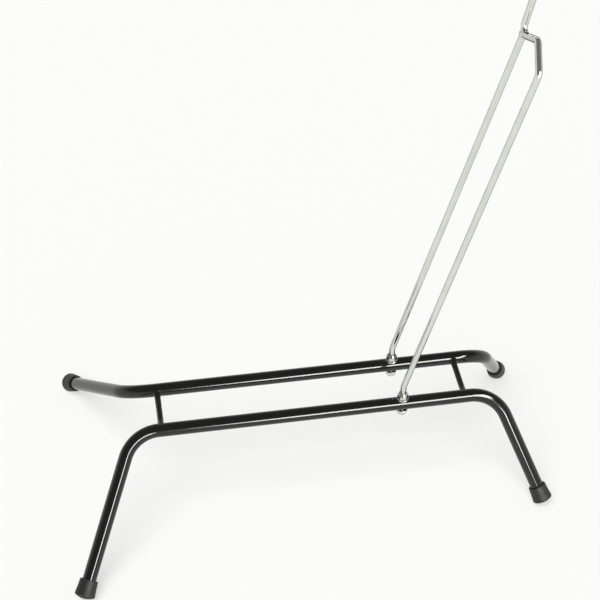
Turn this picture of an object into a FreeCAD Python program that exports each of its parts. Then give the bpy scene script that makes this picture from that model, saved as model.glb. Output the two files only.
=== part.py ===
import FreeCAD, Part
import os
from math import cos, radians, sin, tan

import Sketcher
from FreeCAD import Placement, Rotation, Vector

# Floor rack that holds an upright bicycle by its rear wheel.
# Two bent steel tubes stand side by side. The wheel hangs between their top rails and rests on
# two cross rods. A bent wire hoop rises from the rails, leans over the wheel and goes on as a post.
# +X runs along the rails, +Y across them, +Z up. The origin is on the floor, under the middle.

DOC = FreeCAD.newDocument("floor_rack")

# Driving dimensions, in millimetres and degrees.
DIMENSIONS = [
    ("tube_od", 18.0),          # side tube, outside
    ("tube_wall", 1.5),
    ("rail_spacing", 73.5),     # between the centrelines of the two rails
    ("rail_height", 134.0),     # rail centreline above the floor
    ("corner_left", 231.1),     # from the origin to the point where rail and left leg would meet
    ("corner_right", 256.5),
    ("bend_radius", 50.0),      # centreline radius of the tube bends
    ("slope_left", 35.3),       # leg below the horizontal
    ("slope_right", 50.4),
    ("splay_left", 62.1),       # leg in plan, away from the rail's own line
    ("splay_right", 57.2),
    ("foot_length", 21.0),      # rubber ferrule
    ("foot_wall", 2.7),         # at its top
    ("foot_flare", 1.7),        # how much further its floor end stands out
    ("foot_sole", 4.0),         # rubber under the end of the tube
    ("foot_crown", 4.0),        # how far the sole bulges
    ("foot_flat", 2.2),         # how deep the floor has pressed the sole's edge flat
    ("foot_rim", 2.5),          # rounding of the ferrule's lower edge
    ("foot_lip", 0.8),          # rounding of its upper edge
    ("fit_gap", 0.1),           # between a tube and the ferrule on it
    ("rod_od", 8.0),            # cross rods and hoop wire
    ("cross_past_left", 4.4),   # cross rod in from where the rail's bend ends
    ("cross_past_right", 7.5),
    ("weld_reach", 3.0),        # weld collar beyond the rod's surface
    ("hoop_base", 128.4),       # where the hoop passes through the rails
    ("hole_gap", 0.4),          # round the hoop's stems, in the rails
    ("stem_height", 22.5),      # straight stem above the top of the rail, up to its bend
    ("stem_tail", 3.0),         # thread end below the lower nut
    ("stem_chamfer", 0.8),
    ("stem_bend", 25.0),
    ("hoop_lean", 14.7),        # from the vertical, along the rails
    ("hoop_height", 505.5),     # near shoulder above the rail centreline
    ("crest_forward", 6.7),     # arch over the tyre: near shoulder to crest
    ("crest_rise", 19.9),
    ("far_back", 7.5),          # crest to far shoulder
    ("far_drop", 13.5),
    ("arch_bend", 10.0),
    ("post_lean", 10.6),
    ("post_length", 120.0),     # far shoulder to the start of the hook
    ("hook_radius", 20.0),
    ("hook_width", 44.0),       # between the centrelines of the post and the hook's tip
    ("hook_tip", 22.0),
    ("tip_round", 1.5),
    ("bead_stand", 1.2),        # weld bead beyond the far rod's surface
    ("nut_flats", 13.0),
    ("nut_height", 6.5),
    ("nut_gap", 0.05),          # between nut and stem
    ("nut_ease", 0.3),          # from the flats in to the round face that the bevel leaves
    ("nut_bevel", 30.0),
    ("nut_turn", -11.0),        # how the nuts happen to stand
    ("washer_od", 16.0),
    ("washer_gap", 0.2),        # between washer and stem
    ("washer_thick", 1.6),
    ("washer_edge", 0.3),
]

# Values that follow from them, as the sheet's own formulas.
DERIVED = [
    ("tube_r", "=tube_od / 2"),
    ("bore_r", "=tube_od / 2 - tube_wall"),
    ("rail_y", "=rail_spacing / 2"),
    ("rod_r", "=rod_od / 2"),
    ("turn_left", "=acos(cos(slope_left * 1 deg) * cos(splay_left * 1 deg)) / 1 deg"),
    ("turn_right", "=acos(cos(slope_right * 1 deg) * cos(splay_right * 1 deg)) / 1 deg"),
    ("tip_left", "=atan2(cos(slope_left * 1 deg) * sin(splay_left * 1 deg);"
                 " sin(slope_left * 1 deg)) / 1 deg"),
    ("tip_right", "=atan2(cos(slope_right * 1 deg) * sin(splay_right * 1 deg);"
                  " sin(slope_right * 1 deg)) / 1 deg"),
    ("back_left", "=bend_radius * tan(turn_left / 2 * 1 deg)"),
    ("back_right", "=bend_radius * tan(turn_right / 2 * 1 deg)"),
    ("foot_top_r", "=tube_r + fit_gap + foot_wall"),
    ("foot_floor_r", "=foot_top_r + foot_flare"),
    ("rest_left", "=foot_floor_r * cos(slope_left * 1 deg) - foot_flat"),
    ("rest_right", "=foot_floor_r * cos(slope_right * 1 deg) - foot_flat"),
    ("leg_left", "=(rail_height - rest_left) / sin(slope_left * 1 deg)"),
    ("leg_right", "=(rail_height - rest_right) / sin(slope_right * 1 deg)"),
    ("washer_top_z", "=rail_height + tube_r"),
    ("nut_top_z", "=washer_top_z + washer_thick"),
    ("washer_low_z", "=rail_height - tube_r - washer_thick"),
    ("nut_low_z", "=washer_low_z - nut_height"),
    ("stem_z", "=nut_low_z - stem_tail"),
    ("stem_bend_z", "=rail_height + tube_r + stem_height"),
    ("shoulder_z", "=rail_height + hoop_height"),
    ("shoulder_x", "=hoop_base + (shoulder_z - stem_bend_z) * tan(hoop_lean * 1 deg)"),
    ("far_z", "=shoulder_z + crest_rise - far_drop"),
    ("far_x", "=shoulder_x + crest_forward - far_back"),
    ("nut_corner", "=nut_flats / 2 / cos(30 deg)"),
    ("nut_clear", "=nut_corner * 1.1"),
]

# How closely an edge's radius and height have to match the ones that are looked for.
MATCH = 1e-4


def make_sheet():
    """Write the dimensions and the derived values, one to a row."""
    sheet = DOC.addObject("Spreadsheet::Sheet", "dims")
    rows = [(name, str(value)) for name, value in DIMENSIONS] + DERIVED
    for row, (name, text) in enumerate(rows, start=1):
        sheet.set(f"A{row}", name)
        sheet.set(f"B{row}", text)
        sheet.setAlias(f"B{row}", name)
    DOC.recompute()
    return sheet


SHEET = make_sheet()


def size(name):
    """The present value of a cell, as a plain number."""
    value = getattr(SHEET, name)
    return float(getattr(value, "Value", value))


def bind(item, **expressions):
    """Tie properties of an object to the sheet."""
    for name, text in expressions.items():
        item.setExpression(name, text)


def place(item, x="0", y="0", z="0", yaw="0", pitch="0", roll="0"):
    """Tie the whole placement of an object to the sheet."""
    item.setExpression(
        "Placement",
        f"placement(vector(({x}) * 1 mm; ({y}) * 1 mm; ({z}) * 1 mm);"
        f" rotation(({yaw}) * 1 deg; ({pitch}) * 1 deg; ({roll}) * 1 deg))",
    )


# ---------------------------------------------------------------- helpers

def new_body(name):
    body = DOC.addObject("PartDesign::Body", name)
    body.Label = name
    return body


def new_sketch(body, name, role):
    """A sketch on one of its body's own origin planes."""
    sketch = body.newObject("Sketcher::SketchObject", name)
    plane = next(item for item in body.Origin.OriginFeatures if item.Role == role)
    sketch.AttachmentSupport = (plane, [""])
    sketch.MapMode = "FlatFace"
    return sketch


def constrain(sketch, kind, *arguments, name=None, formula=None):
    """Add a constraint; with a formula, give it a name and tie it to the sheet."""
    if formula:
        arguments += (worth(formula),)
    index = sketch.addConstraint(Sketcher.Constraint(kind, *arguments))
    if formula:
        sketch.renameConstraint(index, name)
        sketch.setExpression(f"Constraints.{name}", formula)


def worth(formula):
    """The present value of a formula, as a plain number."""
    value = SHEET.evalExpression(formula.replace("dims.", ""))
    return float(getattr(value, "Value", value))


def pin(sketch, geometry, point, x, y):
    """Hold a point of the sketch at the place that two formulas give."""
    for kind, axis, formula in (("DistanceX", -2, x), ("DistanceY", -1, y)):
        if formula == "0":
            constrain(sketch, "PointOnObject", geometry, point, axis)
        elif formula:
            constrain(sketch, kind, -1, 1, geometry, point,
                      name=f"{kind}_{geometry}_{point}", formula=formula)


def outline(sketch, corners, centres=None):
    """A closed outline through corners given as pairs of formulas. An arc leaves each corner
    named in centres, which gives the formula for its centre's x."""
    centres = centres or {}
    first = sketch.GeometryCount
    points = [Vector(worth(x), worth(y), 0) for x, y in corners]
    for index, start in enumerate(points):
        stop = points[(index + 1) % len(points)]
        if index not in centres:
            sketch.addGeometry(Part.LineSegment(start, stop))
            continue
        across = worth(centres[index])
        up = (stop.y ** 2 - start.y ** 2 + (stop.x - across) ** 2 - (start.x - across) ** 2)
        centre = Vector(across, up / (2 * (stop.y - start.y)), 0)
        halfway = (start + stop) / 2 - centre
        middle = centre + halfway.normalize() * start.distanceToPoint(centre)
        sketch.addGeometry(Part.Arc(start, middle, stop))
    for index, start in enumerate(points):
        following = (index + 1) % len(points)
        leave = end_at(sketch, first + index, points[following])
        arrive = end_at(sketch, first + following, points[following])
        constrain(sketch, "Coincident", first + index, leave, first + following, arrive)
    for index, (x, y) in enumerate(corners):
        pin(sketch, first + index, end_at(sketch, first + index, points[index]), x, y)
    for index, across in centres.items():
        pin(sketch, first + index, 3, across, None)


def end_at(sketch, geometry, point):
    """Which end of a line or an arc lies at a point: 1 or 2."""
    near = sketch.getPoint(geometry, 1).distanceToPoint(point)
    far = sketch.getPoint(geometry, 2).distanceToPoint(point)
    return 1 if near < far else 2


def ring(sketch, *radii, x="0"):
    """Circles about one centre, with a formula for each radius."""
    for radius in radii:
        shape = Part.Circle(Vector(worth(x), 0, 0), Vector(0, 0, 1), worth(radius))
        index = sketch.addGeometry(shape)
        pin(sketch, index, 3, x, "0")
        constrain(sketch, "Radius", index, name=f"radius_{index}", formula=radius)


def bent_line(sketch, first, turn, second, radius):
    """Two straight runs from the origin, joined by a tangent arc: along +x, then turned down.
    The formulas give both runs up to the corner where they would meet."""
    back = f"{radius} * tan({turn} / 2 * 1 deg)"
    angle = radians(worth(turn))
    bend = worth(radius)
    start = Vector(worth(f"{first} - {back}"), 0, 0)
    centre = start - Vector(0, bend, 0)
    middle = centre + Vector(bend * sin(angle / 2), bend * cos(angle / 2), 0)
    end = centre + Vector(bend * sin(angle), bend * cos(angle), 0)
    tip = end + Vector(cos(angle), -sin(angle), 0) * worth(f"{second} - {back}")
    sketch.addGeometry(Part.LineSegment(Vector(), start))
    sketch.addGeometry(Part.Arc(start, middle, end))
    sketch.addGeometry(Part.LineSegment(end, tip))
    constrain(sketch, "Coincident", 0, 1, -1, 1)
    constrain(sketch, "PointOnObject", 0, 2, -1)
    constrain(sketch, "Tangent", 0, 2, 1, end_at(sketch, 1, start))
    constrain(sketch, "Tangent", 1, end_at(sketch, 1, end), 2, 1)
    constrain(sketch, "Distance", 0, name="first_run", formula=f"{first} - {back}")
    constrain(sketch, "Radius", 1, name="bend", formula=radius)
    constrain(sketch, "Distance", 2, name="second_run", formula=f"{second} - {back}")
    constrain(sketch, "Angle", 0, 1, 2, 1, name="turn", formula=f"-{turn} * 1 deg")


def turn_about_z(body, sketch):
    """Turn an outline round the body's own Z axis."""
    feature = body.newObject("PartDesign::Revolution", f"{body.Name}_turn")
    feature.Profile = sketch
    feature.ReferenceAxis = (sketch, ["V_Axis"])
    feature.Angle = 360
    DOC.recompute()


def round_edges(shape, radius, height):
    """Names of the circular edges of this radius, level at this height."""
    names = []
    for index, edge in enumerate(shape.Edges, start=1):
        if edge.Degenerated or not isinstance(edge.Curve, Part.Circle):
            continue
        if abs(edge.Curve.Radius - radius) < MATCH and abs(edge.Curve.Center.z - height) < MATCH:
            names.append(f"Edge{index}")
    return names


def ease(body, kind, radius, height, amount):
    """Fillet or chamfer the circular edges of a body at one height."""
    feature = body.newObject(f"PartDesign::{kind}", f"{body.Name}_{kind}_{amount}")
    base = [item for item in body.Group if hasattr(item, "Shape")][-2]
    feature.Base = (base, round_edges(base.Shape, worth(radius), worth(height)))
    bind(feature, **{"Radius" if kind == "Fillet" else "Size": f"dims.{amount}"})
    DOC.recompute()


def boolean(kind, name, base, tool):
    """Cut, Fuse or Common of two objects."""
    item = DOC.addObject(f"Part::{kind}", name)
    item.Label = name
    item.Base = base
    item.Tool = tool
    return item


# ---------------------------------------------------------------- side tubes

def make_half_tube(body, side, end, heading):
    """Half of a side tube: from the middle of the rail, round the bend and down the leg.
    side is -1 for the near tube and 1 for the far one, heading the same for left and right."""
    profile = new_sketch(body, f"{body.Name}_{end}_ring", "YZ_Plane")
    ring(profile, "dims.tube_r", "dims.bore_r")
    path = new_sketch(body, f"{body.Name}_{end}_path", "XZ_Plane")
    bent_line(path, f"dims.corner_{end}", f"dims.turn_{end}",
              f"dims.leg_{end} - dims.foot_sole", "dims.bend_radius")
    about_face = 0 if heading > 0 else 180
    path.setExpression(
        "AttachmentOffset",
        f"placement(vector(0 mm; 0 mm; 0 mm);"
        f" rotation(0 deg; {about_face} deg; {side * heading} * dims.tip_{end} * 1 deg))",
    )
    pipe = body.newObject("PartDesign::AdditivePipe", f"{body.Name}_{end}")
    pipe.Profile = profile
    pipe.Spine = (path, ["Edge1", "Edge2", "Edge3"])


def make_side_tube(name, side):
    """One bent tube, with the hole that the hoop's stem passes through."""
    body = new_body(name)
    make_half_tube(body, side, "left", -1)
    make_half_tube(body, side, "right", 1)
    hole = new_sketch(body, f"{name}_hole", "XY_Plane")
    ring(hole, "dims.rod_r + dims.hole_gap", x="dims.hoop_base")
    pocket = body.newObject("PartDesign::Pocket", f"{name}_pocket")
    pocket.Profile = hole
    pocket.Midplane = True
    bind(pocket, Length="dims.tube_od * 2")
    place(body, y=f"{side} * dims.rail_y", z="dims.rail_height")
    return body


# ---------------------------------------------------------------- rubber feet

def make_foot(name, side, end, heading):
    """A ferrule turned about its own axis, then pressed flat where its edge meets the floor."""
    body = new_body(f"{name}_turned")
    profile = new_sketch(body, f"{name}_profile", "XZ_Plane")
    bore = "dims.tube_r + dims.fit_gap"
    outline(profile, [("0", "dims.foot_sole"), (bore, "dims.foot_sole"),
                      (bore, "dims.foot_length"), ("dims.foot_top_r", "dims.foot_length"),
                      ("dims.foot_floor_r", "0"), ("0", "-dims.foot_crown")],
            centres={4: "0"})
    turn_about_z(body, profile)
    ease(body, "Fillet", "dims.foot_top_r", "dims.foot_length", "foot_lip")
    ease(body, "Fillet", "dims.foot_floor_r", "0", "foot_rim")
    run = f"(dims.leg_{end} * cos(dims.slope_{end} * 1 deg))"
    x = f"{heading} * (dims.corner_{end} + {run} * cos(dims.splay_{end} * 1 deg))"
    y = f"{side} * (dims.rail_y + {run} * sin(dims.splay_{end} * 1 deg))"
    yaw = f"{-side} * dims.splay_{end}" if heading < 0 else f"{-side} * (180 - dims.splay_{end})"
    place(body, x=x, y=y, z=f"dims.rest_{end}", yaw=yaw, pitch=f"90 - dims.slope_{end}")
    floor = DOC.addObject("Part::Box", f"{name}_floor")
    reach = "(dims.foot_floor_r * 2)"
    bind(floor, Length=f"{reach} * 2", Width=f"{reach} * 2", Height=reach)
    place(floor, x=f"{x} - {reach}", y=f"{y} - {reach}", z=f"-{reach}")
    return boolean("Cut", name, body, floor)


# ---------------------------------------------------------------- cross rods

def make_cross_rod(name, end, heading):
    """A rod between the rails. Its ends flare into their welds, shaped to the round rails."""
    body = new_body(name)
    profile = new_sketch(body, f"{name}_profile", "XZ_Plane")
    collar = "dims.rod_r + dims.weld_reach"
    throat = "dims.rail_y - dims.tube_r - dims.weld_reach"
    outline(profile, [("0", "-dims.rail_y"), ("0", "dims.rail_y"), (collar, "dims.rail_y"),
                      (collar, "dims.rail_y - dims.tube_r"), ("dims.rod_r", throat),
                      ("dims.rod_r", f"-({throat})"), (collar, "dims.tube_r - dims.rail_y"),
                      (collar, "-dims.rail_y")],
            centres={3: collar, 5: collar})
    turn_about_z(body, profile)
    saddles = new_sketch(body, f"{name}_saddles", "YZ_Plane")
    for index, middle in enumerate(("dims.rail_y", "-dims.rail_y")):
        saddles.addGeometry(Part.Circle(Vector(0, worth(middle), 0), Vector(0, 0, 1),
                                        worth("dims.tube_r")))
        pin(saddles, index, 3, "0", middle)
        constrain(saddles, "Radius", index, name=f"saddle_{index}", formula="dims.tube_r")
    pocket = body.newObject("PartDesign::Pocket", f"{name}_pocket")
    pocket.Profile = saddles
    pocket.Midplane = True
    bind(pocket, Length="dims.tube_od * 2")
    inset = f"(dims.back_{end} + dims.cross_past_{end})"
    place(body, x=f"{heading} * (dims.corner_{end} - {inset})", z="dims.rail_height", roll="90")
    return body


# ---------------------------------------------------------------- wire hoop

def rounded_path(points, radii):
    """A wire of straight runs through points, with a tangent arc at each inner point."""
    edges = []
    start = points[0]
    for before, corner, after, radius in zip(points, points[1:], points[2:], radii):
        back_way = (before - corner).normalize()
        on_way = (after - corner).normalize()
        half = back_way.getAngle(on_way) / 2
        arc_start = corner + back_way * (radius / tan(half))
        arc_end = corner + on_way * (radius / tan(half))
        inward = (back_way + on_way).normalize()
        middle = corner + inward * (radius / sin(half) - radius)
        edges.append(Part.LineSegment(start, arc_start).toShape())
        edges.append(Part.Arc(arc_start, middle, arc_end).toShape())
        start = arc_end
    edges.append(Part.LineSegment(start, points[-1]).toShape())
    return Part.Wire(edges)


def hoop_points():
    """Corners of the hoop wire, from the near stem's lower end to the tip of the hook."""
    base, side = size("hoop_base"), size("rail_y")
    post = radians(size("post_lean"))
    along = Vector(sin(post), 0, cos(post))
    towards_wheel = Vector(-cos(post), 0, sin(post))
    near = Vector(size("shoulder_x"), -side, size("shoulder_z"))
    crest = Vector(near.x + size("crest_forward"), 0, near.z + size("crest_rise"))
    far = Vector(size("far_x"), side, size("far_z"))
    hook = far + along * (size("post_length") + size("hook_radius"))
    over = hook + towards_wheel * size("hook_width")
    tip = over - along * (size("hook_radius") + size("hook_tip"))
    return [Vector(base, -side, size("stem_z")), Vector(base, -side, size("stem_bend_z")),
            near, crest, far, hook, over, tip]


def make_hoop_wire(name):
    """Near rod, arch over the tyre, post and hook, bent from one length of wire."""
    path = DOC.addObject("Part::Feature", f"{name}_centreline")
    arch, hook = size("arch_bend"), size("hook_radius")
    path.Shape = rounded_path(hoop_points(), [size("stem_bend"), arch, arch, arch, hook, hook])
    section = DOC.addObject("Part::Circle", f"{name}_section")
    bind(section, Radius="dims.rod_r")
    place(section, x="dims.hoop_base", y="-dims.rail_y", z="dims.stem_z")
    sweep = DOC.addObject("Part::Sweep", f"{name}_sweep")
    sweep.Sections = [section]
    sweep.Spine = (path, [f"Edge{index + 1}" for index in range(len(path.Shape.Edges))])
    sweep.Solid = True
    sweep.Frenet = False
    DOC.recompute()
    ends = [(index, edge) for index, edge in enumerate(sweep.Shape.Edges, start=1)
            if edge.isClosed()]
    lowest = min(ends, key=lambda pair: pair[1].BoundBox.ZMax)[0]
    chamfer = DOC.addObject("Part::Chamfer", f"{name}_thread_end")
    chamfer.Base = sweep
    chamfer.Edges = [(lowest, size("stem_chamfer"), size("stem_chamfer"))]
    DOC.recompute()
    tip = hoop_points()[-1]
    rim = min(((index, edge) for index, edge in enumerate(chamfer.Shape.Edges, start=1)
               if edge.isClosed()),
              key=lambda pair: pair[1].BoundBox.Center.distanceToPoint(tip))[0]
    wire = DOC.addObject("Part::Fillet", name)
    wire.Label = name
    wire.Base = chamfer
    wire.Edges = [(rim, size("tip_round"), size("tip_round"))]
    return wire


def make_far_rod(name, hoop):
    """Far rod of the hoop: bent like the near one, and welded under the arch's far shoulder."""
    body = new_body(f"{name}_bent")
    section = new_sketch(body, f"{name}_section", "XY_Plane")
    ring(section, "dims.rod_r")
    path = new_sketch(body, f"{name}_path", "XZ_Plane")
    rise = "dims.far_z - dims.stem_bend_z"
    bent_line(path, "dims.stem_bend_z - dims.stem_z", "dims.hoop_lean",
              f"({rise}) / cos(dims.hoop_lean * 1 deg)", "dims.stem_bend")
    path.AttachmentOffset = Placement(Vector(), Rotation(90, 0, 0))
    pipe = body.newObject("PartDesign::AdditivePipe", f"{name}_pipe")
    pipe.Profile = section
    pipe.Spine = (path, ["Edge1", "Edge2", "Edge3"])
    DOC.recompute()
    ease(body, "Chamfer", "dims.rod_r", "0", "stem_chamfer")
    place(body, x="dims.hoop_base", y="dims.rail_y", z="dims.stem_z")
    bead = DOC.addObject("Part::Sphere", f"{name}_bead")
    bind(bead, Radius="dims.rod_r + dims.bead_stand")
    place(bead, x=f"dims.hoop_base + ({rise}) * tan(dims.hoop_lean * 1 deg)",
          y="dims.rail_y", z="dims.far_z")
    welded = boolean("Fuse", f"{name}_welded", body, bead)
    return boolean("Cut", name, welded, hoop)


# ---------------------------------------------------------------- nuts and washers

def make_nut(name, side, level):
    """A hexagon nut with both faces chamfered."""
    body = new_body(name)
    hexagon = new_sketch(body, f"{name}_hexagon", "XY_Plane")
    outline(hexagon, [(f"dims.nut_corner * cos({60 * step} deg + dims.nut_turn * 1 deg)",
                       f"dims.nut_corner * sin({60 * step} deg + dims.nut_turn * 1 deg)")
                      for step in range(6)])
    ring(hexagon, "dims.rod_r + dims.nut_gap")
    pad = body.newObject("PartDesign::Pad", f"{name}_pad")
    pad.Profile = hexagon
    bind(pad, Length="dims.nut_height")
    DOC.recompute()
    corners = new_sketch(body, f"{name}_corners", "XZ_Plane")
    inner, outer = "(dims.nut_flats / 2 - dims.nut_ease)", "dims.nut_clear"
    drop = f"({outer} - {inner}) * tan(dims.nut_bevel * 1 deg)"
    outline(corners, [(inner, "0"), (outer, "0"), (outer, drop)])
    outline(corners, [(inner, "dims.nut_height"), (outer, "dims.nut_height"),
                      (outer, f"dims.nut_height - {drop}")])
    groove = body.newObject("PartDesign::Groove", f"{name}_chamfer")
    groove.Profile = corners
    groove.ReferenceAxis = (corners, ["V_Axis"])
    groove.Angle = 360
    place(body, x="dims.hoop_base", y=f"{side} * dims.rail_y", z=f"dims.nut_{level}_z")
    return body


def make_washer(name, side, level):
    """A flat washer with its outer edges rounded, as stamping leaves them."""
    body = new_body(name)
    flat = new_sketch(body, f"{name}_flat", "XY_Plane")
    ring(flat, "dims.washer_od / 2", "dims.rod_r + dims.washer_gap")
    pad = body.newObject("PartDesign::Pad", f"{name}_pad")
    pad.Profile = flat
    bind(pad, Length="dims.washer_thick")
    DOC.recompute()
    ease(body, "Fillet", "dims.washer_od / 2", "dims.washer_thick", "washer_edge")
    place(body, x="dims.hoop_base", y=f"{side} * dims.rail_y", z=f"dims.washer_{level}_z")
    return body


# ---------------------------------------------------------------- the whole rack

def make_rack():
    """Every piece of the rack, in the order that it is put together."""
    pieces = []
    for side_name, side in (("near", -1), ("far", 1)):
        pieces.append(make_side_tube(f"{side_name}_side_tube", side))
        for end, heading in (("left", -1), ("right", 1)):
            pieces.append(make_foot(f"{side_name}_{end}_foot", side, end, heading))
        for level in ("top", "low"):
            pieces.append(make_washer(f"{side_name}_{level}_washer", side, level))
            pieces.append(make_nut(f"{side_name}_{level}_nut", side, level))
    for end, heading in (("left", -1), ("right", 1)):
        pieces.append(make_cross_rod(f"{end}_cross_rod", end, heading))
    hoop = make_hoop_wire("hoop_wire")
    pieces.append(hoop)
    pieces.append(make_far_rod("far_hoop_rod", hoop))
    return pieces


def check(pieces):
    """Stop on any failed object and on any piece that isn't a sound solid."""
    DOC.recompute()
    for item in DOC.Objects:
        if {"Invalid", "Error"} & set(item.State):
            raise RuntimeError(f"{item.Label}: {item.State}")
    for item in pieces:
        if item.Shape.isNull() or not item.Shape.isValid():
            raise RuntimeError(f"{item.Label}: bad shape")


def write(pieces):
    os.makedirs("parts", exist_ok=True)
    for item in pieces:
        item.Shape.exportStep(f"parts/{item.Label}.step")
        print(item.Label, len(item.Shape.Solids), round(item.Shape.Volume, 1))


RACK = make_rack()
check(RACK)
write(RACK)
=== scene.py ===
from math import atan2, ceil, cos, exp, pi, radians, sin, sqrt, tan

import bmesh
import bpy
from mathutils import Matrix, Quaternion, Vector


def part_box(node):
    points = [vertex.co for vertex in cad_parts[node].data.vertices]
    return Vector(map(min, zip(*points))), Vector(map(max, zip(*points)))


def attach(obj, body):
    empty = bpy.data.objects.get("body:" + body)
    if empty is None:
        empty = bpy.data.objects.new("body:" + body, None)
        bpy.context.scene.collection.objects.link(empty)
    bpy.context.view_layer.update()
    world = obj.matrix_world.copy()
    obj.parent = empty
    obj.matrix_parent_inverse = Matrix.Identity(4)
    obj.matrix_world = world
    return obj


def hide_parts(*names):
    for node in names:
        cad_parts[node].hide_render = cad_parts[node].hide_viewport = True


# Floor rack: two bent enamelled tubes on rubber feet, two cross rods welded between them,
# and a chromed wire hoop bolted to the rails. Lengths are in metres.

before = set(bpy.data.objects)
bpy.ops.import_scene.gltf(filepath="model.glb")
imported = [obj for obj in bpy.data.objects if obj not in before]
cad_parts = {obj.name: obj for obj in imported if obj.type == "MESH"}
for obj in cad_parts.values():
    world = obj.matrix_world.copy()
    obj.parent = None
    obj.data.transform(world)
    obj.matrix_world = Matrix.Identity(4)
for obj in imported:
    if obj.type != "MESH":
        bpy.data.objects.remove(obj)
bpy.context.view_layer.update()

# ---------------------------------------------------------------- the rack's sizes

MM = 0.001
SIDES = {"near": -1, "far": 1}                        # along Y
ENDS = {"left": -1, "right": 1}                       # along X

TUBE_R = 9.0 * MM
TUBE_WALL = 1.5 * MM
RAIL_Y = 36.75 * MM
RAIL_Z = 134.0 * MM
BEND_R = 50.0 * MM
CORNER = {"left": 231.1 * MM, "right": 256.5 * MM}    # where rail and leg would meet
SLOPE = {"left": radians(35.3), "right": radians(50.4)}
SPLAY = {"left": radians(62.1), "right": radians(57.2)}
HOLE_R = 4.4 * MM                                     # the rail's hole for the hoop

FOOT_LENGTH = 21.0 * MM
FOOT_SOLE = 4.0 * MM                                  # rubber under the tube's end
FOOT_CROWN = 4.0 * MM                                 # how far the sole bulges
FOOT_TOP_R = 11.8 * MM
FOOT_FLOOR_R = 13.5 * MM
FOOT_FLAT = 2.2 * MM                                  # pressed flat at the lowest corner
FOOT_RIM = 2.5 * MM                                   # rounding between side and sole
FOOT_LIP = 0.8 * MM                                   # rounding of the upper edge
FOOT_BORE_R = 9.1 * MM
FOOT_MOUTH = 0.3 * MM                                 # bevel round the bore
FOOT_HOLLOW = 0.2 * MM                                # how far the side is drawn in
PARTING_HALF_WIDTH = 0.35 * MM                        # of the ridge that the mould leaves
PARTING_HEIGHT = 0.16 * MM
PARTING_FROM_R = FOOT_BORE_R + 1.2 * MM               # nothing inside this is ridged

ROD_R = 4.0 * MM
HOOP_X = 128.4 * MM
STEM_Z = 113.9 * MM
STEM_BEND_Z = 165.5 * MM
STEM_BEND_R = 25.0 * MM
STEM_BEVEL = 0.8 * MM
HOOP_LEAN = radians(14.7)
SHOULDER_Z = 639.5 * MM
TO_CREST = Vector((6.7, 36.75, 19.9)) * MM            # from the near shoulder
TO_FAR_SHOULDER = Vector((-0.8, 73.5, 6.4)) * MM
ARCH_R = 10.0 * MM
POST_LEAN = radians(10.6)
POST_LENGTH = 120.0 * MM
HOOK_R = 20.0 * MM
HOOK_WIDTH = 44.0 * MM
HOOK_TIP = 22.0 * MM
TIP_ROUND = 1.5 * MM

THREAD_PITCH = 1.25 * MM
THREAD_DEPTH = 0.6 * MM
THREAD_TOP = 153.5 * MM
THREAD_FADE = 1.5 * MM                                # over which the thread runs out
THREAD_FLANK = 2.6                                    # a flank's rise in one pitch, in depths
THREAD_FLAT = 0.15                                    # depths lost to each flat root or crest

WELD_TOE = 6.9 * MM                                   # the weld's edge on the rail
WELD_THROAT = 3.1 * MM                                # its edge on the rod, off the rail
WELD_BELLY_OUT = 4.9 * MM                             # the fillet curve's control point,
WELD_BELLY_OFF = 0.9 * MM                             # out from the rod and off the rail
WELD_SINK = 0.1 * MM                                  # how deep the weld sits in the rail
WELD_COINS = 15                                       # ripples round a weld
WELD_COIN_HEIGHT = 0.28 * MM
WELD_COIN_SWEEP = 1.1                                 # how far a ripple leans, in radians
WELD_HIDDEN = (6.2 * MM, 0.8 * MM)                    # end ring inside the tube's wall
BEAD_R = 5.2 * MM                                     # the weld under the arch
BEAD_RIPPLE = 0.04                                    # as a share of its radius
BEAD_WAVES = 6                                        # with two ripples to each

NUT_FLATS = 13.0 * MM
NUT_HEIGHT = 6.5 * MM
NUT_TURN = radians(-11.0)
NUT_FACE_R = 6.2 * MM                                 # where each flat face ends
NUT_FACE_INSET = 0.4 * MM                             # of the ring that keeps it flat
NUT_BEVEL = radians(30)
NUT_SINK = 0.5 * MM                                   # countersink of the bore
NUT_BLUNT = 0.25 * MM                                 # taken off each corner
NUT_CORNER_CROWN = 0.12 * MM                          # how far a blunt corner bulges
NUT_BORE_R = ROD_R + 0.05 * MM
WASHER_R = 8.0 * MM
WASHER_THICK = 1.6 * MM
WASHER_BORE_R = ROD_R + 0.2 * MM
WASHER_ROLL = 0.35 * MM                               # edge rolled over by the punch
WASHER_EDGE = 0.08 * MM                               # crisp lower edge

# How many points there are round each kind of ring, and how wide a turned piece's end is left
# at its axis.
ROUND = {"tube": 64, "hole": 48, "foot": 144, "rod": 48, "weld": 150, "bead": 72, "nut": 144,
         "washer": 96}
AXIS_R = 0.02 * MM


# ---------------------------------------------------------------- lines and rings

def straight(start, end, spacing=12 * MM):
    """Evenly spaced points of a run, both ends with them, as (place, direction) pairs."""
    way = end - start
    count = max(1, ceil(way.length / spacing))
    return [(start + way * (index / count), way.normalized()) for index in range(count + 1)]


def rounded(corners, radii, step=radians(3)):
    """Points along straight runs that tangent arcs join, as (place, direction) pairs."""
    fewest_steps = 4
    line = []
    start = corners[0]
    for before, corner, after, radius in zip(corners, corners[1:], corners[2:], radii):
        way_in = (corner - before).normalized()
        way_out = (after - corner).normalized()
        turn = way_in.angle(way_out)
        back = radius * tan(turn / 2)
        axis = way_in.cross(way_out).normalized()
        arc_start = corner - way_in * back
        centre = arc_start + axis.cross(way_in) * radius
        line += straight(start, arc_start)
        count = max(fewest_steps, ceil(turn / step))
        for index in range(1, count):
            spin = Quaternion(axis, turn * index / count)
            line.append((centre + spin @ (arc_start - centre), spin @ way_in))
        start = corner + way_out * back
    return line + straight(start, corners[-1])


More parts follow.
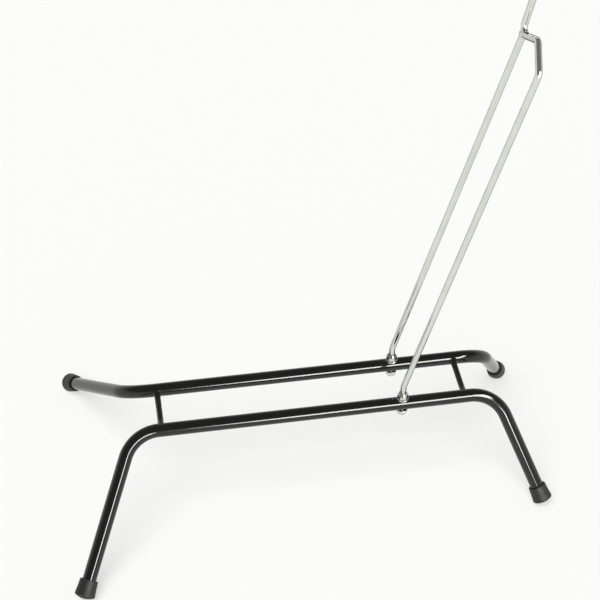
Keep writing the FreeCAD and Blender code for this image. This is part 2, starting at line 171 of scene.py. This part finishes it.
def length_of(line):
    return sum((after[0] - before[0]).length for before, after in zip(line, line[1:]))


def sweep(line, count, radius_at):
    """Rings of points round a line. radius_at gives a radius for a distance and an angle."""
    same_place = 1e-7    # points nearer than this are one
    side = line[0][1].orthogonal()
    rings = []
    distance = 0.0
    for index, (place, way) in enumerate(line):
        step = (place - line[index - 1][0]).length if index else 0.0
        if index and step < same_place:
            continue
        distance += step
        side = (side - way * side.dot(way)).normalized()
        other = way.cross(side)
        rings.append([])
        for k in range(count):
            angle = 2 * pi * k / count
            out = side * cos(angle) + other * sin(angle)
            rings[-1].append(place + out * radius_at(distance, angle))
    return rings


def turned(profile, count, radius_at=None):
    """Rings of points round the Z axis through (radius, height) pairs. radius_at may change the
    radius for a radius, height and angle."""
    rings = []
    for radius, height in profile:
        rings.append([])
        for k in range(count):
            angle = 2 * pi * k / count
            reach = radius_at(radius, height, angle) if radius_at else radius
            rings[-1].append(Vector((reach * cos(angle), reach * sin(angle), height)))
    return rings


def arc(centre, radius, start, end, count):
    """(radius, height) pairs along an arc of a profile, from angle start to angle end."""
    return [(centre[0] + radius * cos(start + (end - start) * k / count),
             centre[1] + radius * sin(start + (end - start) * k / count))
            for k in range(count + 1)]


def move(rings, matrix):
    return [[matrix @ point for point in ring] for ring in rings]


# ---------------------------------------------------------------- meshes

def skin(name, shells, looped=False, crease=radians(35)):
    """One mesh from shells of rings. A looped shell runs back into its first ring, and any other
    is closed at both ends. Its UV map is in millimetres: round each ring, and along the shell."""
    mesh = bpy.data.meshes.new(name)
    build = bmesh.new()
    layer = build.loops.layers.uv.new("along")
    for rings in shells:
        corners = [[build.verts.new(point) for point in ring] for ring in rings]
        count = len(corners[0])
        along = 0.0
        for row in range(len(corners) if looped else len(corners) - 1):
            lower = corners[row]
            upper = corners[(row + 1) % len(corners)]
            rise = sum((a.co - b.co).length for a, b in zip(lower, upper)) / count / MM
            girth = sum((a.co - b.co).length for a, b in zip(lower, lower[1:])) / MM
            for k in range(count):
                face = build.faces.new((lower[k], lower[(k + 1) % count],
                                        upper[(k + 1) % count], upper[k]))
                places = ((k, 0), (k + 1, 0), (k + 1, rise), (k, rise))
                for loop, (turn, up) in zip(face.loops, places):
                    loop[layer].uv = (girth * turn / count, along + up)
            along += rise
        if not looped:
            close(build, corners[0])
            close(build, corners[-1])
    bmesh.ops.recalc_face_normals(build, faces=build.faces)
    build.to_mesh(mesh)
    build.free()
    mesh.shade_smooth()
    mesh.set_sharp_from_angle(angle=crease)
    piece = bpy.data.objects.new(name, mesh)
    bpy.context.scene.collection.objects.link(piece)
    return piece


def close(build, ring):
    """Fill the end of a shell with a fan about its middle."""
    middle = build.verts.new(sum((corner.co for corner in ring), Vector()) / len(ring))
    for k, corner in enumerate(ring):
        build.faces.new((middle, corner, ring[(k + 1) % len(ring)]))


def drill(piece, place, radius, reach):
    """Cut an upright round hole through a piece."""
    rings = turned([(radius, -reach), (radius, reach)], ROUND["hole"])
    cutter = skin("drill", [move(rings, Matrix.Translation(place))])
    cut = piece.modifiers.new("hole", "BOOLEAN")
    cut.object = cutter
    cut.operation = "DIFFERENCE"
    cut.solver = "EXACT"
    depsgraph = bpy.context.evaluated_depsgraph_get()
    drilled = bpy.data.meshes.new_from_object(piece.evaluated_get(depsgraph))
    piece.modifiers.clear()
    piece.data = drilled
    bpy.data.objects.remove(cutter)


def finish_piece(piece, node, material):
    """Give a piece its finish and let it stand for its node of the frame."""
    piece.data.materials.append(material)
    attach(piece, "root")
    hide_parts(node)


# ---------------------------------------------------------------- nodes and colours

MIX_A, MIX_B, MIX_OUT = 6, 7, 2     # a colour mix's sockets


def srgb(code):
    """A hex colour as linear light, with an alpha of 1."""
    parts = [int(code[k:k + 2], 16) / 255 for k in (1, 3, 5)]
    return (*[p / 12.92 if p <= 0.04045 else ((p + 0.055) / 1.055) ** 2.4 for p in parts], 1.0)


def per_mm(size):
    """Noise scale, in a space of metres, whose features are about this many millimetres."""
    return 1 / (size * MM)


def new_material(name):
    material = bpy.data.materials.new(name)
    material.use_nodes = True
    material.node_tree.nodes.clear()
    return material, material.node_tree


def add(tree, kind, inputs=None, **settings):
    """Add a node, set its properties, and fill its inputs with values or other nodes' outputs."""
    made = tree.nodes.new(kind)
    for name, value in settings.items():
        setattr(made, name, value)
    for name, value in (inputs or {}).items():
        if isinstance(value, bpy.types.NodeSocket):
            tree.links.new(value, made.inputs[name])
        else:
            made.inputs[name].default_value = value
    return made


# ---------------------------------------------------------------- materials

def baked_enamel():
    """Black stoving enamel on steel tube. It flows out into a deep gloss, which draws a light as
    a thin line along the tube, wavering a little over a faint orange peel. Handling leaves a
    light haze and specks of dust, which are drawn up to 1 mm across, because real ones are too
    fine to show."""
    material, tree = new_material("baked_enamel")
    place = add(tree, "ShaderNodeTexCoord").outputs["Object"]
    cloud = add(tree, "ShaderNodeTexNoise",
                {"Vector": place, "Scale": per_mm(45), "Detail": 4.0, "Roughness": 0.6})
    haze = add(tree, "ShaderNodeTexNoise",
               {"Vector": place, "Scale": per_mm(9), "Detail": 5.0, "Roughness": 0.65})
    specks = add(tree, "ShaderNodeTexVoronoi", {"Vector": place, "Scale": per_mm(5)})
    dust = add(tree, "ShaderNodeMapRange", {"Value": specks.outputs["Distance"], "From Min": 0.05,
                                            "From Max": 0.1, "To Min": 0.35, "To Max": 0.0})
    tone = add(tree, "ShaderNodeMix",
               {0: cloud.outputs["Fac"], MIX_A: srgb("#0b0b0a"), MIX_B: srgb("#151513")},
               data_type="RGBA")
    dusty = add(tree, "ShaderNodeMix",
                {0: dust.outputs["Result"], MIX_A: tone.outputs[MIX_OUT], MIX_B: srgb("#4a4a46")},
                data_type="RGBA")
    rough = add(tree, "ShaderNodeMapRange", {"Value": haze.outputs["Fac"], "From Min": 0.3,
                                             "From Max": 0.75, "To Min": 0.08, "To Max": 0.12})
    peel = add(tree, "ShaderNodeTexNoise",
               {"Vector": place, "Scale": per_mm(1.6), "Detail": 2.0})
    bump = add(tree, "ShaderNodeBump",
               {"Height": peel.outputs["Fac"], "Strength": 0.04, "Distance": 0.012 * MM})
    shader = add(tree, "ShaderNodeBsdfPrincipled",
                 {"Base Color": dusty.outputs[MIX_OUT], "Roughness": rough.outputs["Result"],
                  "IOR": 1.5, "Normal": bump.outputs["Normal"]})
    add(tree, "ShaderNodeOutputMaterial", {"Surface": shader.outputs["BSDF"]})
    return material


def moulded_rubber():
    """Black moulded rubber: dull, so that a light spreads over it without a line, with the
    mould's grain and with floor dust low down. The real grain is too fine to show, so this one
    is coarser, at 0.45 mm."""
    material, tree = new_material("moulded_rubber")
    place = add(tree, "ShaderNodeTexCoord").outputs["Object"]
    cloud = add(tree, "ShaderNodeTexNoise",
                {"Vector": place, "Scale": per_mm(7), "Detail": 5.0, "Roughness": 0.6})
    height = add(tree, "ShaderNodeSeparateXYZ", {"Vector": place})
    low = add(tree, "ShaderNodeMapRange", {"Value": height.outputs["Z"], "From Min": 0.5 * MM,
                                           "From Max": 9 * MM, "To Min": 0.7, "To Max": 0.0})
    scuff = add(tree, "ShaderNodeMath", {0: low.outputs["Result"], 1: cloud.outputs["Fac"]},
                operation="MULTIPLY")
    tone = add(tree, "ShaderNodeMix",
               {0: cloud.outputs["Fac"], MIX_A: srgb("#0f0f0e"), MIX_B: srgb("#181817")},
               data_type="RGBA")
    dusty = add(tree, "ShaderNodeMix",
                {0: scuff.outputs["Value"], MIX_A: tone.outputs[MIX_OUT], MIX_B: srgb("#57564f")},
                data_type="RGBA")
    rough = add(tree, "ShaderNodeMapRange", {"Value": cloud.outputs["Fac"], "From Min": 0.3,
                                             "From Max": 0.7, "To Min": 0.5, "To Max": 0.66})
    grain = add(tree, "ShaderNodeTexNoise",
                {"Vector": place, "Scale": per_mm(0.45), "Detail": 3.0})
    bump = add(tree, "ShaderNodeBump",
               {"Height": grain.outputs["Fac"], "Strength": 0.5, "Distance": 0.05 * MM})
    shader = add(tree, "ShaderNodeBsdfPrincipled",
                 {"Base Color": dusty.outputs[MIX_OUT], "Roughness": rough.outputs["Result"],
                  "IOR": 1.5, "Normal": bump.outputs["Normal"]})
    add(tree, "ShaderNodeOutputMaterial", {"Surface": shader.outputs["BSDF"]})
    return material


def chrome_plate():
    """Bright chrome on drawn steel wire. It mirrors the room, streaked by the lines that drawing
    leaves along the wire and dotted with small pits. Both are too fine to show at their real
    size, so the lines are about 0.45 mm apart and the pits up to 0.6 mm across. The studio has
    nothing dark for the wire's edges to mirror, so the Specular Tint darkens its rims."""
    material, tree = new_material("chrome_plate")
    lines_round = 2.2         # for each millimetre round the wire
    lines_along = 0.03        # for each millimetre along it
    place = add(tree, "ShaderNodeTexCoord")
    cloud = add(tree, "ShaderNodeTexNoise",
                {"Vector": place.outputs["Object"], "Scale": per_mm(22), "Detail": 4.0})
    stretch = add(tree, "ShaderNodeMapping",
                  {"Vector": place.outputs["UV"], "Scale": (lines_round, lines_along, 1.0)})
    lines = add(tree, "ShaderNodeTexNoise",
                {"Vector": stretch.outputs["Vector"], "Scale": 1.0, "Detail": 3.0})
    pits = add(tree, "ShaderNodeTexVoronoi",
               {"Vector": place.outputs["Object"], "Scale": per_mm(4)})
    pit = add(tree, "ShaderNodeMapRange", {"Value": pits.outputs["Distance"], "From Min": 0.04,
                                           "From Max": 0.07, "To Min": 0.5, "To Max": 0.0})
    tone = add(tree, "ShaderNodeMix",
               {0: cloud.outputs["Fac"], MIX_A: srgb("#d0d3cb"), MIX_B: srgb("#e4e7df")},
               data_type="RGBA")
    pitted = add(tree, "ShaderNodeMix",
                 {0: pit.outputs["Result"], MIX_A: tone.outputs[MIX_OUT], MIX_B: srgb("#6f6a60")},
                 data_type="RGBA")
    rough = add(tree, "ShaderNodeMapRange", {"Value": lines.outputs["Fac"], "From Min": 0.3,
                                             "From Max": 0.7, "To Min": 0.05, "To Max": 0.14})
    bump = add(tree, "ShaderNodeBump",
               {"Height": lines.outputs["Fac"], "Strength": 0.25, "Distance": 0.01 * MM})
    shader = add(tree, "ShaderNodeBsdfPrincipled",
                 {"Base Color": pitted.outputs[MIX_OUT], "Metallic": 1.0,
                  "Specular Tint": srgb("#0c0c0b"),
                  "Roughness": rough.outputs["Result"], "Normal": bump.outputs["Normal"]})
    add(tree, "ShaderNodeOutputMaterial", {"Surface": shader.outputs["BSDF"]})
    return material


def zinc_plate():
    """Bright zinc on stamped and cut steel: silvery, with bluish and yellowish patches and a
    satin grain. The real grain is too fine to show, so this one is coarser, at 0.5 mm."""
    material, tree = new_material("zinc_plate")
    place = add(tree, "ShaderNodeTexCoord").outputs["Object"]
    cloud = add(tree, "ShaderNodeTexNoise",
                {"Vector": place, "Scale": per_mm(3.5), "Detail": 4.0})
    grain = add(tree, "ShaderNodeTexNoise",
                {"Vector": place, "Scale": per_mm(0.5), "Detail": 2.0})
    tone = add(tree, "ShaderNodeMix",
               {0: cloud.outputs["Fac"], MIX_A: srgb("#c4cacc"), MIX_B: srgb("#d9d7c9")},
               data_type="RGBA")
    rough = add(tree, "ShaderNodeMapRange", {"Value": cloud.outputs["Fac"], "From Min": 0.3,
                                             "From Max": 0.7, "To Min": 0.18, "To Max": 0.3})
    bump = add(tree, "ShaderNodeBump",
               {"Height": grain.outputs["Fac"], "Strength": 0.3, "Distance": 0.02 * MM})
    shader = add(tree, "ShaderNodeBsdfPrincipled",
                 {"Base Color": tone.outputs[MIX_OUT], "Metallic": 1.0,
                  "Roughness": rough.outputs["Result"], "Normal": bump.outputs["Normal"]})
    add(tree, "ShaderNodeOutputMaterial", {"Surface": shader.outputs["BSDF"]})
    return material


def floor_paper():
    """A matt white sheet that glows a little to whoever looks at it, straight or in a mirror or
    through glass, so that it shows white and still takes the rack's soft shadow."""
    material, tree = new_material("floor_paper")
    glow_share = 0.55
    path = add(tree, "ShaderNodeLightPath")
    either = add(tree, "ShaderNodeMath",
                 {0: path.outputs["Is Camera Ray"], 1: path.outputs["Is Glossy Ray"]},
                 operation="MAXIMUM")
    seen = add(tree, "ShaderNodeMath",
               {0: either.outputs["Value"], 1: path.outputs["Is Transmission Ray"]},
               operation="MAXIMUM")
    matt = add(tree, "ShaderNodeBsdfDiffuse", {"Color": srgb("#f1f1ef")})
    glow = add(tree, "ShaderNodeEmission", {"Color": srgb("#ffffff"), "Strength": 1.0})
    lit = add(tree, "ShaderNodeMixShader",
              {0: glow_share, 1: matt.outputs["BSDF"], 2: glow.outputs["Emission"]})
    show = add(tree, "ShaderNodeMixShader",
               {0: seen.outputs["Value"], 1: matt.outputs["BSDF"], 2: lit.outputs["Shader"]})
    add(tree, "ShaderNodeOutputMaterial", {"Surface": show.outputs["Shader"]})
    return material


# ---------------------------------------------------------------- side tubes

def leg_way(side, end):
    """Direction from a rail's corner down its leg."""
    slope, splay = SLOPE[end], SPLAY[end]
    return Vector((ENDS[end] * cos(slope) * cos(splay), SIDES[side] * cos(slope) * sin(splay),
                   -sin(slope)))


def corner_place(side, end):
    return Vector((ENDS[end] * CORNER[end], SIDES[side] * RAIL_Y, RAIL_Z))


def leg_length(end):
    """From the rail's corner to the middle of the foot's floor end."""
    rest = FOOT_FLOOR_R * cos(SLOPE[end]) - FOOT_FLAT
    return (RAIL_Z - rest) / sin(SLOPE[end])


def side_tube(side, enamel):
    """A bent tube, open at both ends, with a hole through the rail for the hoop's stem."""
    tips = {end: corner_place(side, end) + leg_way(side, end) * (leg_length(end) - FOOT_SOLE)
            for end in ENDS}
    corners = [tips["left"], corner_place(side, "left"), corner_place(side, "right"),
               tips["right"]]
    line = rounded(corners, [BEND_R, BEND_R], step=radians(2.5))
    outside = sweep(line, ROUND["tube"], lambda distance, angle: TUBE_R)
    bore = sweep(line, ROUND["tube"], lambda distance, angle: TUBE_R - TUBE_WALL)
    piece = skin(f"{side}_bent_tube", [outside + bore[::-1]], looped=True)
    drill(piece, Vector((HOOP_X, SIDES[side] * RAIL_Y, RAIL_Z)), HOLE_R, 2 * TUBE_R)
    finish_piece(piece, f"{side}_side_tube", enamel)


# ---------------------------------------------------------------- rubber feet

def foot_profile():
    """(radius, height) pairs up the bore, over the lip, down the side and under the sole. Height
    is up the leg from the floor end, where the side would meet the sole's dome."""
    flare = (FOOT_FLOOR_R - FOOT_TOP_R) / FOOT_LENGTH
    dome_r = (FOOT_FLOOR_R ** 2 + FOOT_CROWN ** 2) / (2 * FOOT_CROWN)
    dome_z = dome_r - FOOT_CROWN
    # The rim's middle is as far inside the slanting side as it is inside the dome.
    edge = FOOT_FLOOR_R - FOOT_RIM * sqrt(1 + flare ** 2)
    slant = 1 + flare ** 2
    half = (dome_z + edge * flare) / slant
    rim_z = half - sqrt(half ** 2 - (edge ** 2 + dome_z ** 2 - (dome_r - FOOT_RIM) ** 2) / slant)
    rim_r = edge - flare * rim_z
    dome_edge = atan2(rim_z - dome_z, rim_r)

    bore_ring = 0.6    # how far up the foot one ring of the bore is
    profile = [(AXIS_R, FOOT_SOLE), (FOOT_BORE_R / 2, FOOT_SOLE), (FOOT_BORE_R, FOOT_SOLE),
               (FOOT_BORE_R, FOOT_LENGTH * bore_ring), (FOOT_BORE_R, FOOT_LENGTH - FOOT_MOUTH),
               (FOOT_BORE_R + FOOT_MOUTH, FOOT_LENGTH)]
    lip_z = FOOT_LENGTH - FOOT_LIP
    profile += arc((FOOT_TOP_R - FOOT_LIP, lip_z), FOOT_LIP, pi / 2, 0.0, count=6)
    rows = 12
    for k in range(1, rows):
        height = lip_z + (rim_z - lip_z) * k / rows
        hollow = FOOT_HOLLOW * sin(pi * k / rows)
        profile.append((FOOT_FLOOR_R - flare * height - hollow, height))
    profile += arc((rim_r, rim_z), FOOT_RIM, atan2(flare, 1), dome_edge, count=10)
    nearly_down = 0.001 - pi / 2
    return profile + arc((0, dome_z), dome_r, dome_edge, nearly_down, count=14)


def foot(side, end, rubber):
    """A moulded ferrule with a rolled lip and a parting line, pressed flat on the floor."""
    def parted(radius, height, angle):
        """The mould's halves leave a low ridge down opposite sides of the foot."""
        if radius <= PARTING_FROM_R:
            return radius
        aside = sin(angle) * FOOT_TOP_R / PARTING_HALF_WIDTH
        return radius + PARTING_HEIGHT * exp(-aside ** 2)

    rings = turned(foot_profile(), ROUND["foot"], parted)
    way = leg_way(side, end)
    stand = Matrix.Translation(corner_place(side, end) + way * leg_length(end))
    rings = move(rings, stand @ (-way).to_track_quat("Z", "Y").to_matrix().to_4x4())
    for ring in rings:
        for point in ring:
            point.z = max(point.z, 0.0)
    piece = skin(f"{side}_{end}_ferrule", [rings])
    finish_piece(piece, f"{side}_{end}_foot", rubber)


# ---------------------------------------------------------------- cross rods

def cross_rod(end, enamel):
    """A rod between the rails with a rippled fillet weld round each end."""
    low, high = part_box(f"{end}_cross_rod")
    x = (low.x + high.x) / 2
    angles = [2 * pi * k / ROUND["weld"] for k in range(ROUND["weld"])]
    weld_steps = 14

    def wall(reach, angle):
        """How far from the middle the rail's surface is, at a reach from the rod's axis."""
        return RAIL_Y - sqrt(TUBE_R ** 2 - (reach * sin(angle)) ** 2)

    def weld(share, angle):
        """A point of the weld's face, from its toe on the rail (0) to its toe on the rod (1)."""
        coin = abs(sin(WELD_COINS * angle / 2 + WELD_COIN_SWEEP * cos(pi * share)))
        bulge = WELD_COIN_HEIGHT * coin * sin(pi * share)
        reach = (WELD_TOE * (1 - share) ** 2 + 2 * WELD_BELLY_OUT * share * (1 - share)
                 + ROD_R * share ** 2 + bulge)
        off = (WELD_THROAT * share ** 2 + 2 * WELD_BELLY_OFF * share * (1 - share)
               - WELD_SINK)
        return reach, wall(reach, angle) - off - bulge / 2

    # Each half is rings of (reach, distance from the middle, angle), from inside the tube's
    # wall over the weld and along the rod.
    hidden_r, hidden_depth = WELD_HIDDEN
    half = [[(hidden_r, wall(hidden_r, angle) + hidden_depth, angle) for angle in angles]]
    half += [[(*weld(step / weld_steps, angle), angle) for angle in angles]
             for step in range(weld_steps + 1)]
    half += [[(ROD_R, (wall(ROD_R, angle) - WELD_THROAT) * share, angle) for angle in angles]
             for share in (0.75, 0.5, 0.25)]
    rings = []
    for heading in SIDES.values():
        placed = [[Vector((x + reach * cos(angle), heading * y, RAIL_Z + reach * sin(angle)))
                   for reach, y, angle in ring] for ring in half]
        rings += placed if heading < 0 else placed[::-1]
    piece = skin(f"{end}_welded_rod", [rings], crease=radians(60))
    finish_piece(piece, f"{end}_cross_rod", enamel)


# ---------------------------------------------------------------- wire hoop

def rod_radius(distance, angle, total=None):
    """The wire's radius: a bevelled thread at its lower end, and a rounded tip at its upper one
    where the total length is given."""
    turn = (distance / THREAD_PITCH - angle / (2 * pi)) % 1.0
    cut = max(0.0, min(1.0, (0.5 - abs(turn - 0.5)) * THREAD_FLANK - THREAD_FLAT))
    fade = max(0.0, min(1.0, (STEM_Z + distance - THREAD_TOP) / THREAD_FADE + 1.0))
    radius = ROD_R - THREAD_DEPTH * (1 - cut) * (1 - fade)
    radius = min(radius, ROD_R - STEM_BEVEL + distance)
    if total is not None and total - distance < TIP_ROUND:
        drop = TIP_ROUND - max(total - distance, 0.0)
        radius = ROD_R - TIP_ROUND + sqrt(max(TIP_ROUND ** 2 - drop ** 2, 0.0))
    return radius


def stem(side):
    """The threaded stretch of a rod, from its lower end up."""
    rings_to_a_turn = 12
    y = SIDES[side] * RAIL_Y
    return straight(Vector((HOOP_X, y, STEM_Z)), Vector((HOOP_X, y, THREAD_TOP)),
                    spacing=THREAD_PITCH / rings_to_a_turn)


def hoop_wire(chrome):
    """Near rod, arch, post and hook, bent from one length of wire."""
    rise = SHOULDER_Z - STEM_BEND_Z
    near = Vector((HOOP_X + rise * tan(HOOP_LEAN), -RAIL_Y, SHOULDER_Z))
    far = near + TO_FAR_SHOULDER
    along = Vector((sin(POST_LEAN), 0, cos(POST_LEAN)))
    forward = Vector((-cos(POST_LEAN), 0, sin(POST_LEAN)))
    hook = far + along * (POST_LENGTH + HOOK_R)
    over = hook + forward * HOOK_WIDTH
    tip = over - along * (HOOK_R + HOOK_TIP)
    last = tip + along * TIP_ROUND
    tip_rings = 10

    line = stem("near")
    line += rounded([line[-1][0], Vector((HOOP_X, -RAIL_Y, STEM_BEND_Z)), near, near + TO_CREST,
                     far, hook, over, last],
                    [STEM_BEND_R, ARCH_R, ARCH_R, ARCH_R, HOOK_R, HOOK_R])
    line += straight(last, tip, spacing=TIP_ROUND / tip_rings)
    total = length_of(line)
    rings = sweep(line, ROUND["rod"], lambda distance, angle: rod_radius(distance, angle, total))
    finish_piece(skin("bent_wire", [rings]), "hoop_wire", chrome)


def far_rod(chrome):
    """The hoop's far rod, with the weld that joins its top to the arch."""
    rise = SHOULDER_Z + TO_FAR_SHOULDER.z - STEM_BEND_Z
    top = Vector((HOOP_X + rise * tan(HOOP_LEAN), RAIL_Y, SHOULDER_Z + TO_FAR_SHOULDER.z))
    line = stem("far")
    line += rounded([line[-1][0], Vector((HOOP_X, RAIL_Y, STEM_BEND_Z)), top], [STEM_BEND_R])
    rod = sweep(line, ROUND["rod"], rod_radius)

    def rippled(radius, height, angle):
        return radius * (1 + BEAD_RIPPLE * abs(sin(BEAD_WAVES * angle + height / BEAD_R)))

    steps = 20
    profile = [(max(BEAD_R * sin(pi * k / steps), AXIS_R), -BEAD_R * cos(pi * k / steps))
               for k in range(steps + 1)]
    lean = (top - line[-2][0]).to_track_quat("Z", "Y").to_matrix().to_4x4()
    bead = move(turned(profile, ROUND["bead"], rippled), Matrix.Translation(top) @ lean)
    finish_piece(skin("welded_far_rod", [rod, bead]), "far_hoop_rod", chrome)


# ---------------------------------------------------------------- nuts and washers

def nut(side, level, zinc):
    """A hexagon nut: bevelled faces, slightly rounded corners and a countersunk bore."""
    def hexagon(radius, height, angle):
        """The outline's reach at an angle, cut by the bevel near both faces."""
        if radius < NUT_FACE_R:
            return radius
        half_side = pi / 6
        turn = (angle - NUT_TURN) % (2 * half_side) - half_side
        blunt = NUT_FLATS / 2 / cos(half_side) - NUT_BLUNT
        blunt += NUT_CORNER_CROWN * (1 - (turn / half_side) ** 4)
        from_face = min(height, NUT_HEIGHT - height)
        return min(NUT_FLATS / 2 / cos(turn), blunt, NUT_FACE_R + from_face / tan(NUT_BEVEL))

    # Rows of points up to half height, in millimetres, closest where the bevel runs.
    rows = [0.0, 0.12, 0.25, 0.4, 0.6, 0.85, 1.2, 1.7, 2.4, 3.25]
    heights = [row * MM for row in rows] + [NUT_HEIGHT - row * MM for row in rows[-2::-1]]
    ring_r = NUT_FACE_R - NUT_FACE_INSET
    profile = [(NUT_BORE_R, NUT_SINK), (NUT_BORE_R + NUT_SINK, 0.0), (ring_r, 0.0)]
    profile += [(NUT_FACE_R, height) for height in heights]
    profile += [(ring_r, NUT_HEIGHT), (NUT_BORE_R + NUT_SINK, NUT_HEIGHT),
                (NUT_BORE_R, NUT_HEIGHT - NUT_SINK), (NUT_BORE_R, NUT_HEIGHT / 2)]
    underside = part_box(f"{side}_{level}_nut")[0].z
    place = Vector((HOOP_X, SIDES[side] * RAIL_Y, underside))
    rings = move(turned(profile, ROUND["nut"], hexagon), Matrix.Translation(place))
    piece = skin(f"{side}_{level}_hex_nut", [rings], looped=True, crease=radians(24))
    finish_piece(piece, f"{side}_{level}_nut", zinc)


def washer(side, level, zinc):
    """A stamped washer: its upper edges rolled over by the punch, the lower ones crisp."""
    roll, inner_roll = WASHER_ROLL, WASHER_ROLL / 2
    profile = [(WASHER_BORE_R, 0.0), (WASHER_R - WASHER_EDGE, 0.0), (WASHER_R, WASHER_EDGE)]
    profile += arc((WASHER_R - roll, WASHER_THICK - roll), roll, 0.0, pi / 2, count=6)
    profile += arc((WASHER_BORE_R + inner_roll, WASHER_THICK - inner_roll), inner_roll,
                   pi / 2, pi, count=4)
    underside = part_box(f"{side}_{level}_washer")[0].z
    place = Vector((HOOP_X, SIDES[side] * RAIL_Y, underside))
    rings = move(turned(profile, ROUND["washer"]), Matrix.Translation(place))
    piece = skin(f"{side}_{level}_flat_washer", [rings], looped=True)
    finish_piece(piece, f"{side}_{level}_washer", zinc)


def rack():
    """Every piece of the rack."""
    enamel, rubber, chrome, zinc = (baked_enamel(), moulded_rubber(), chrome_plate(),
                                    zinc_plate())
    for side in SIDES:
        side_tube(side, enamel)
        for end in ENDS:
            foot(side, end, rubber)
        for level in ("top", "low"):
            nut(side, level, zinc)
            washer(side, level, zinc)
    for end in ENDS:
        cross_rod(end, enamel)
    hoop_wire(chrome)
    far_rod(chrome)


# ---------------------------------------------------------------- camera and studio

def camera_as_photographed():
    """The camera's place, turn and lens, as worked out from the photograph."""
    place = Vector((-0.2268, -1.3191, 1.5307))
    azimuth, elevation, roll = radians(10.377), radians(44.527), radians(1.196)
    look = Vector((sin(azimuth) * cos(elevation), cos(azimuth) * cos(elevation),
                   -sin(elevation)))
    level = Vector((cos(azimuth), -sin(azimuth), 0))
    upright = level.cross(look)
    right = level * cos(roll) + upright * sin(roll)
    up = upright * cos(roll) - level * sin(roll)
    data = bpy.data.cameras.new("camera")
    data.sensor_width = 36
    data.lens = 86.386
    data.shift_x = -0.0246
    data.shift_y = 0.0857
    data.clip_end = 100
    camera = bpy.data.objects.new("camera", data)
    turn = Matrix((right, up, -look)).transposed().to_4x4()
    camera.matrix_world = Matrix.Translation(place) @ turn
    bpy.context.scene.collection.objects.link(camera)
    bpy.context.scene.camera = camera


def white_floor():
    """A white floor that reaches far past every view, just under the rubber feet."""
    reach, under = 30.0, -0.02 * MM
    mesh = bpy.data.meshes.new("floor")
    mesh.from_pydata([(-reach, -reach, under), (reach, -reach, under), (reach, reach, under),
                      (-reach, reach, under)], [], [(0, 1, 2, 3)])
    mesh.materials.append(floor_paper())
    floor = bpy.data.objects.new("floor", mesh)
    bpy.context.scene.collection.objects.link(floor)


def white_walls():
    """Walls that are white low down, where they meet the floor, and dim towards the ceiling, so
    that the black tubes stay black on top."""
    world = bpy.data.worlds.new("studio")
    world.use_nodes = True
    tree = world.node_tree
    tree.nodes.clear()
    way = add(tree, "ShaderNodeTexCoord").outputs["Generated"]
    rise = add(tree, "ShaderNodeSeparateXYZ", {"Vector": way})
    level = add(tree, "ShaderNodeMapRange", {"Value": rise.outputs["Z"], "From Min": 0.15,
                                             "From Max": 0.6, "To Min": 0.97, "To Max": 0.2})
    walls = add(tree, "ShaderNodeBackground", {"Color": srgb("#ffffff"),
                                               "Strength": level.outputs["Result"]})
    add(tree, "ShaderNodeOutputWorld", {"Surface": walls.outputs["Background"]})
    bpy.context.scene.world = world


def strip_light():
    """A long softbox to the front right, turned so that it shows as the line of gloss along the
    tubes. It lights nothing matt."""
    azimuth, elevation, tilt = radians(24), radians(32), radians(40)
    distance, width, height, radiance = 2.6, 2.8, 0.5, 26
    faced = Vector((0, 0, 0.15))
    data = bpy.data.lights.new("strip", "AREA")
    data.shape = "RECTANGLE"
    data.size = width
    data.size_y = height
    data.energy = radiance * pi * width * height
    data.color = srgb("#fbfcf1")[:3]
    strip = bpy.data.objects.new("strip", data)
    away = Vector((sin(azimuth) * cos(elevation), -cos(azimuth) * cos(elevation),
                   sin(elevation)))
    turn = away.to_track_quat("Z", "Y") @ Quaternion((0, 0, 1), tilt)
    strip.matrix_world = (Matrix.Translation(away * distance + faced)
                          @ turn.to_matrix().to_4x4())
    strip.visible_diffuse = False
    bpy.context.scene.collection.objects.link(strip)


def overhead_light():
    """Wide soft light from above, even over the whole floor. It lights the rack and casts its
    soft shadow, and isn't mirrored in it."""
    data = bpy.data.lights.new("overhead", "SUN")
    data.energy = 2.6
    data.angle = radians(50)
    overhead = bpy.data.objects.new("overhead", data)
    overhead.rotation_euler = (radians(20), radians(-18), 0)
    overhead.visible_glossy = False
    bpy.context.scene.collection.objects.link(overhead)


camera_as_photographed()
white_floor()
white_walls()
strip_light()
overhead_light()
bpy.context.scene.view_settings.view_transform = "Standard"
rack()
